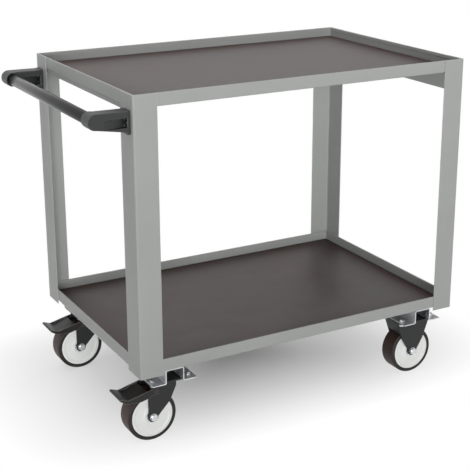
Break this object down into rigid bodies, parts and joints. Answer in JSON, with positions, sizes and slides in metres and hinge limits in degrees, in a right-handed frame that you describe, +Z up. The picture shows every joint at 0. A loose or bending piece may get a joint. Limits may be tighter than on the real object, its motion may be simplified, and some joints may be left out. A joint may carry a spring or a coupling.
{
  "type": "tool cart",
  "caption": "Sheet-steel tool cart with lined trays on angle legs, a black push handle at one end, braked swivel casters under it and rigid casters at the other end.",
  "frame": {"origin": "on the floor under the middle of the overall box", "axes": "+X along the cart away from the handle, +Y towards the rear long side, +Z up"},
  "size_m": [0.999, 0.6, 0.85],
  "materials": {
    "frame_paint": "light grey powder coat, fine texture",
    "shelf_mat": "dark brown-grey smooth lining, satin",
    "zinc_steel": "zinc plated sheet",
    "caster_black": "black painted pressing",
    "pedal_black": "black painted pressing",
    "black_plastic": "black moulded plastic",
    "tube_black": "black powder coated tube",
    "wheel_plastic": "white moulded plastic",
    "tyre_rubber": "dark rubber",
    "black_steel": "blackened screws",
    "bright_steel": "bright zinc plated"
  },
  "bodies": {
    "cart_frame": {"leg_front_left": "frame_paint", "leg_rear_left": "frame_paint", "leg_front_right": "frame_paint", "leg_rear_right": "frame_paint", "upper_tray": "frame_paint", "lower_tray": "frame_paint", "left_end_rail": "frame_paint", "right_end_rail": "frame_paint", "upper_stiffener": "frame_paint", "lower_stiffener": "frame_paint", "upper_mat": "shelf_mat", "lower_mat": "shelf_mat", "left_caster_channel": "zinc_steel", "right_caster_channel": "zinc_steel", "front_handle_bracket": "black_plastic", "rear_handle_bracket": "black_plastic", "handle_tube": "tube_black", "handle_screws": "black_steel", "handle_nuts": "bright_steel", "caster_bolts": "bright_steel", "caster_nuts": "bright_steel", "rigid_axle_bolts": "bright_steel", "rigid_axle_nuts": "bright_steel", "rigid_axle_sleeves": "bright_steel", "front_left_swivel_plate": "caster_black", "front_left_kingpin": "bright_steel", "front_left_swivel_balls": "bright_steel", "rear_left_swivel_plate": "caster_black", "rear_left_kingpin": "bright_steel", "rear_left_swivel_balls": "bright_steel", "front_right_rigid_plate": "caster_black", "front_right_rigid_fork": "caster_black", "rear_right_rigid_plate": "caster_black", "rear_right_rigid_fork": "caster_black"},
    "front_left_wheel": {"front_left_wheel_core": "wheel_plastic", "front_left_tyre": "tyre_rubber", "front_left_wheel_bearings": "bright_steel"},
    "front_left_swivel": {"front_left_swivel_fork": "caster_black", "front_left_axle_bolt": "bright_steel", "front_left_axle_nut": "bright_steel", "front_left_axle_sleeve": "bright_steel", "front_left_brake_pin": "bright_steel"},
    "front_left_brake": {"front_left_brake_pedal": "pedal_black"},
    "rear_left_wheel": {"rear_left_wheel_core": "wheel_plastic", "rear_left_tyre": "tyre_rubber", "rear_left_wheel_bearings": "bright_steel"},
    "rear_left_swivel": {"rear_left_swivel_fork": "caster_black", "rear_left_axle_bolt": "bright_steel", "rear_left_axle_nut": "bright_steel", "rear_left_axle_sleeve": "bright_steel", "rear_left_brake_pin": "bright_steel"},
    "rear_left_brake": {"rear_left_brake_pedal": "pedal_black"},
    "front_right_wheel": {"front_right_wheel_core": "wheel_plastic", "front_right_tyre": "tyre_rubber", "front_right_wheel_bearings": "bright_steel"},
    "rear_right_wheel": {"rear_right_wheel_core": "wheel_plastic", "rear_right_tyre": "tyre_rubber", "rear_right_wheel_bearings": "bright_steel"}
  },
  "joints": [
    {"name": "front_left_swivel_turn", "type": "hinge", "parent": "cart_frame", "child": "front_left_swivel", "pos_m": [-0.3115, -0.23, 0.1485], "axis": [0, 0, 1], "continuous": true},
    {"name": "front_left_wheel_roll", "type": "hinge", "parent": "front_left_swivel", "child": "front_left_wheel", "pos_m": [-0.3525, -0.23, 0.0625], "axis": [0, 1, 0], "continuous": true},
    {"name": "front_left_brake_press", "type": "hinge", "parent": "front_left_swivel", "child": "front_left_brake", "pos_m": [-0.3465, -0.23, 0.1305], "axis": [0, -1, 0], "range_deg": [0, 8]},
    {"name": "rear_left_swivel_turn", "type": "hinge", "parent": "cart_frame", "child": "rear_left_swivel", "pos_m": [-0.3115, 0.23, 0.1485], "axis": [0, 0, 1], "continuous": true},
    {"name": "rear_left_wheel_roll", "type": "hinge", "parent": "rear_left_swivel", "child": "rear_left_wheel", "pos_m": [-0.3525, 0.23, 0.0625], "axis": [0, 1, 0], "continuous": true},
    {"name": "rear_left_brake_press", "type": "hinge", "parent": "rear_left_swivel", "child": "rear_left_brake", "pos_m": [-0.3465, 0.23, 0.1305], "axis": [0, -1, 0], "range_deg": [0, 8]},
    {"name": "front_right_wheel_roll", "type": "hinge", "parent": "cart_frame", "child": "front_right_wheel", "pos_m": [0.4105, -0.23, 0.0625], "axis": [0, 1, 0], "continuous": true},
    {"name": "rear_right_wheel_roll", "type": "hinge", "parent": "cart_frame", "child": "rear_right_wheel", "pos_m": [0.4105, 0.23, 0.0625], "axis": [0, 1, 0], "continuous": true}
  ]
}
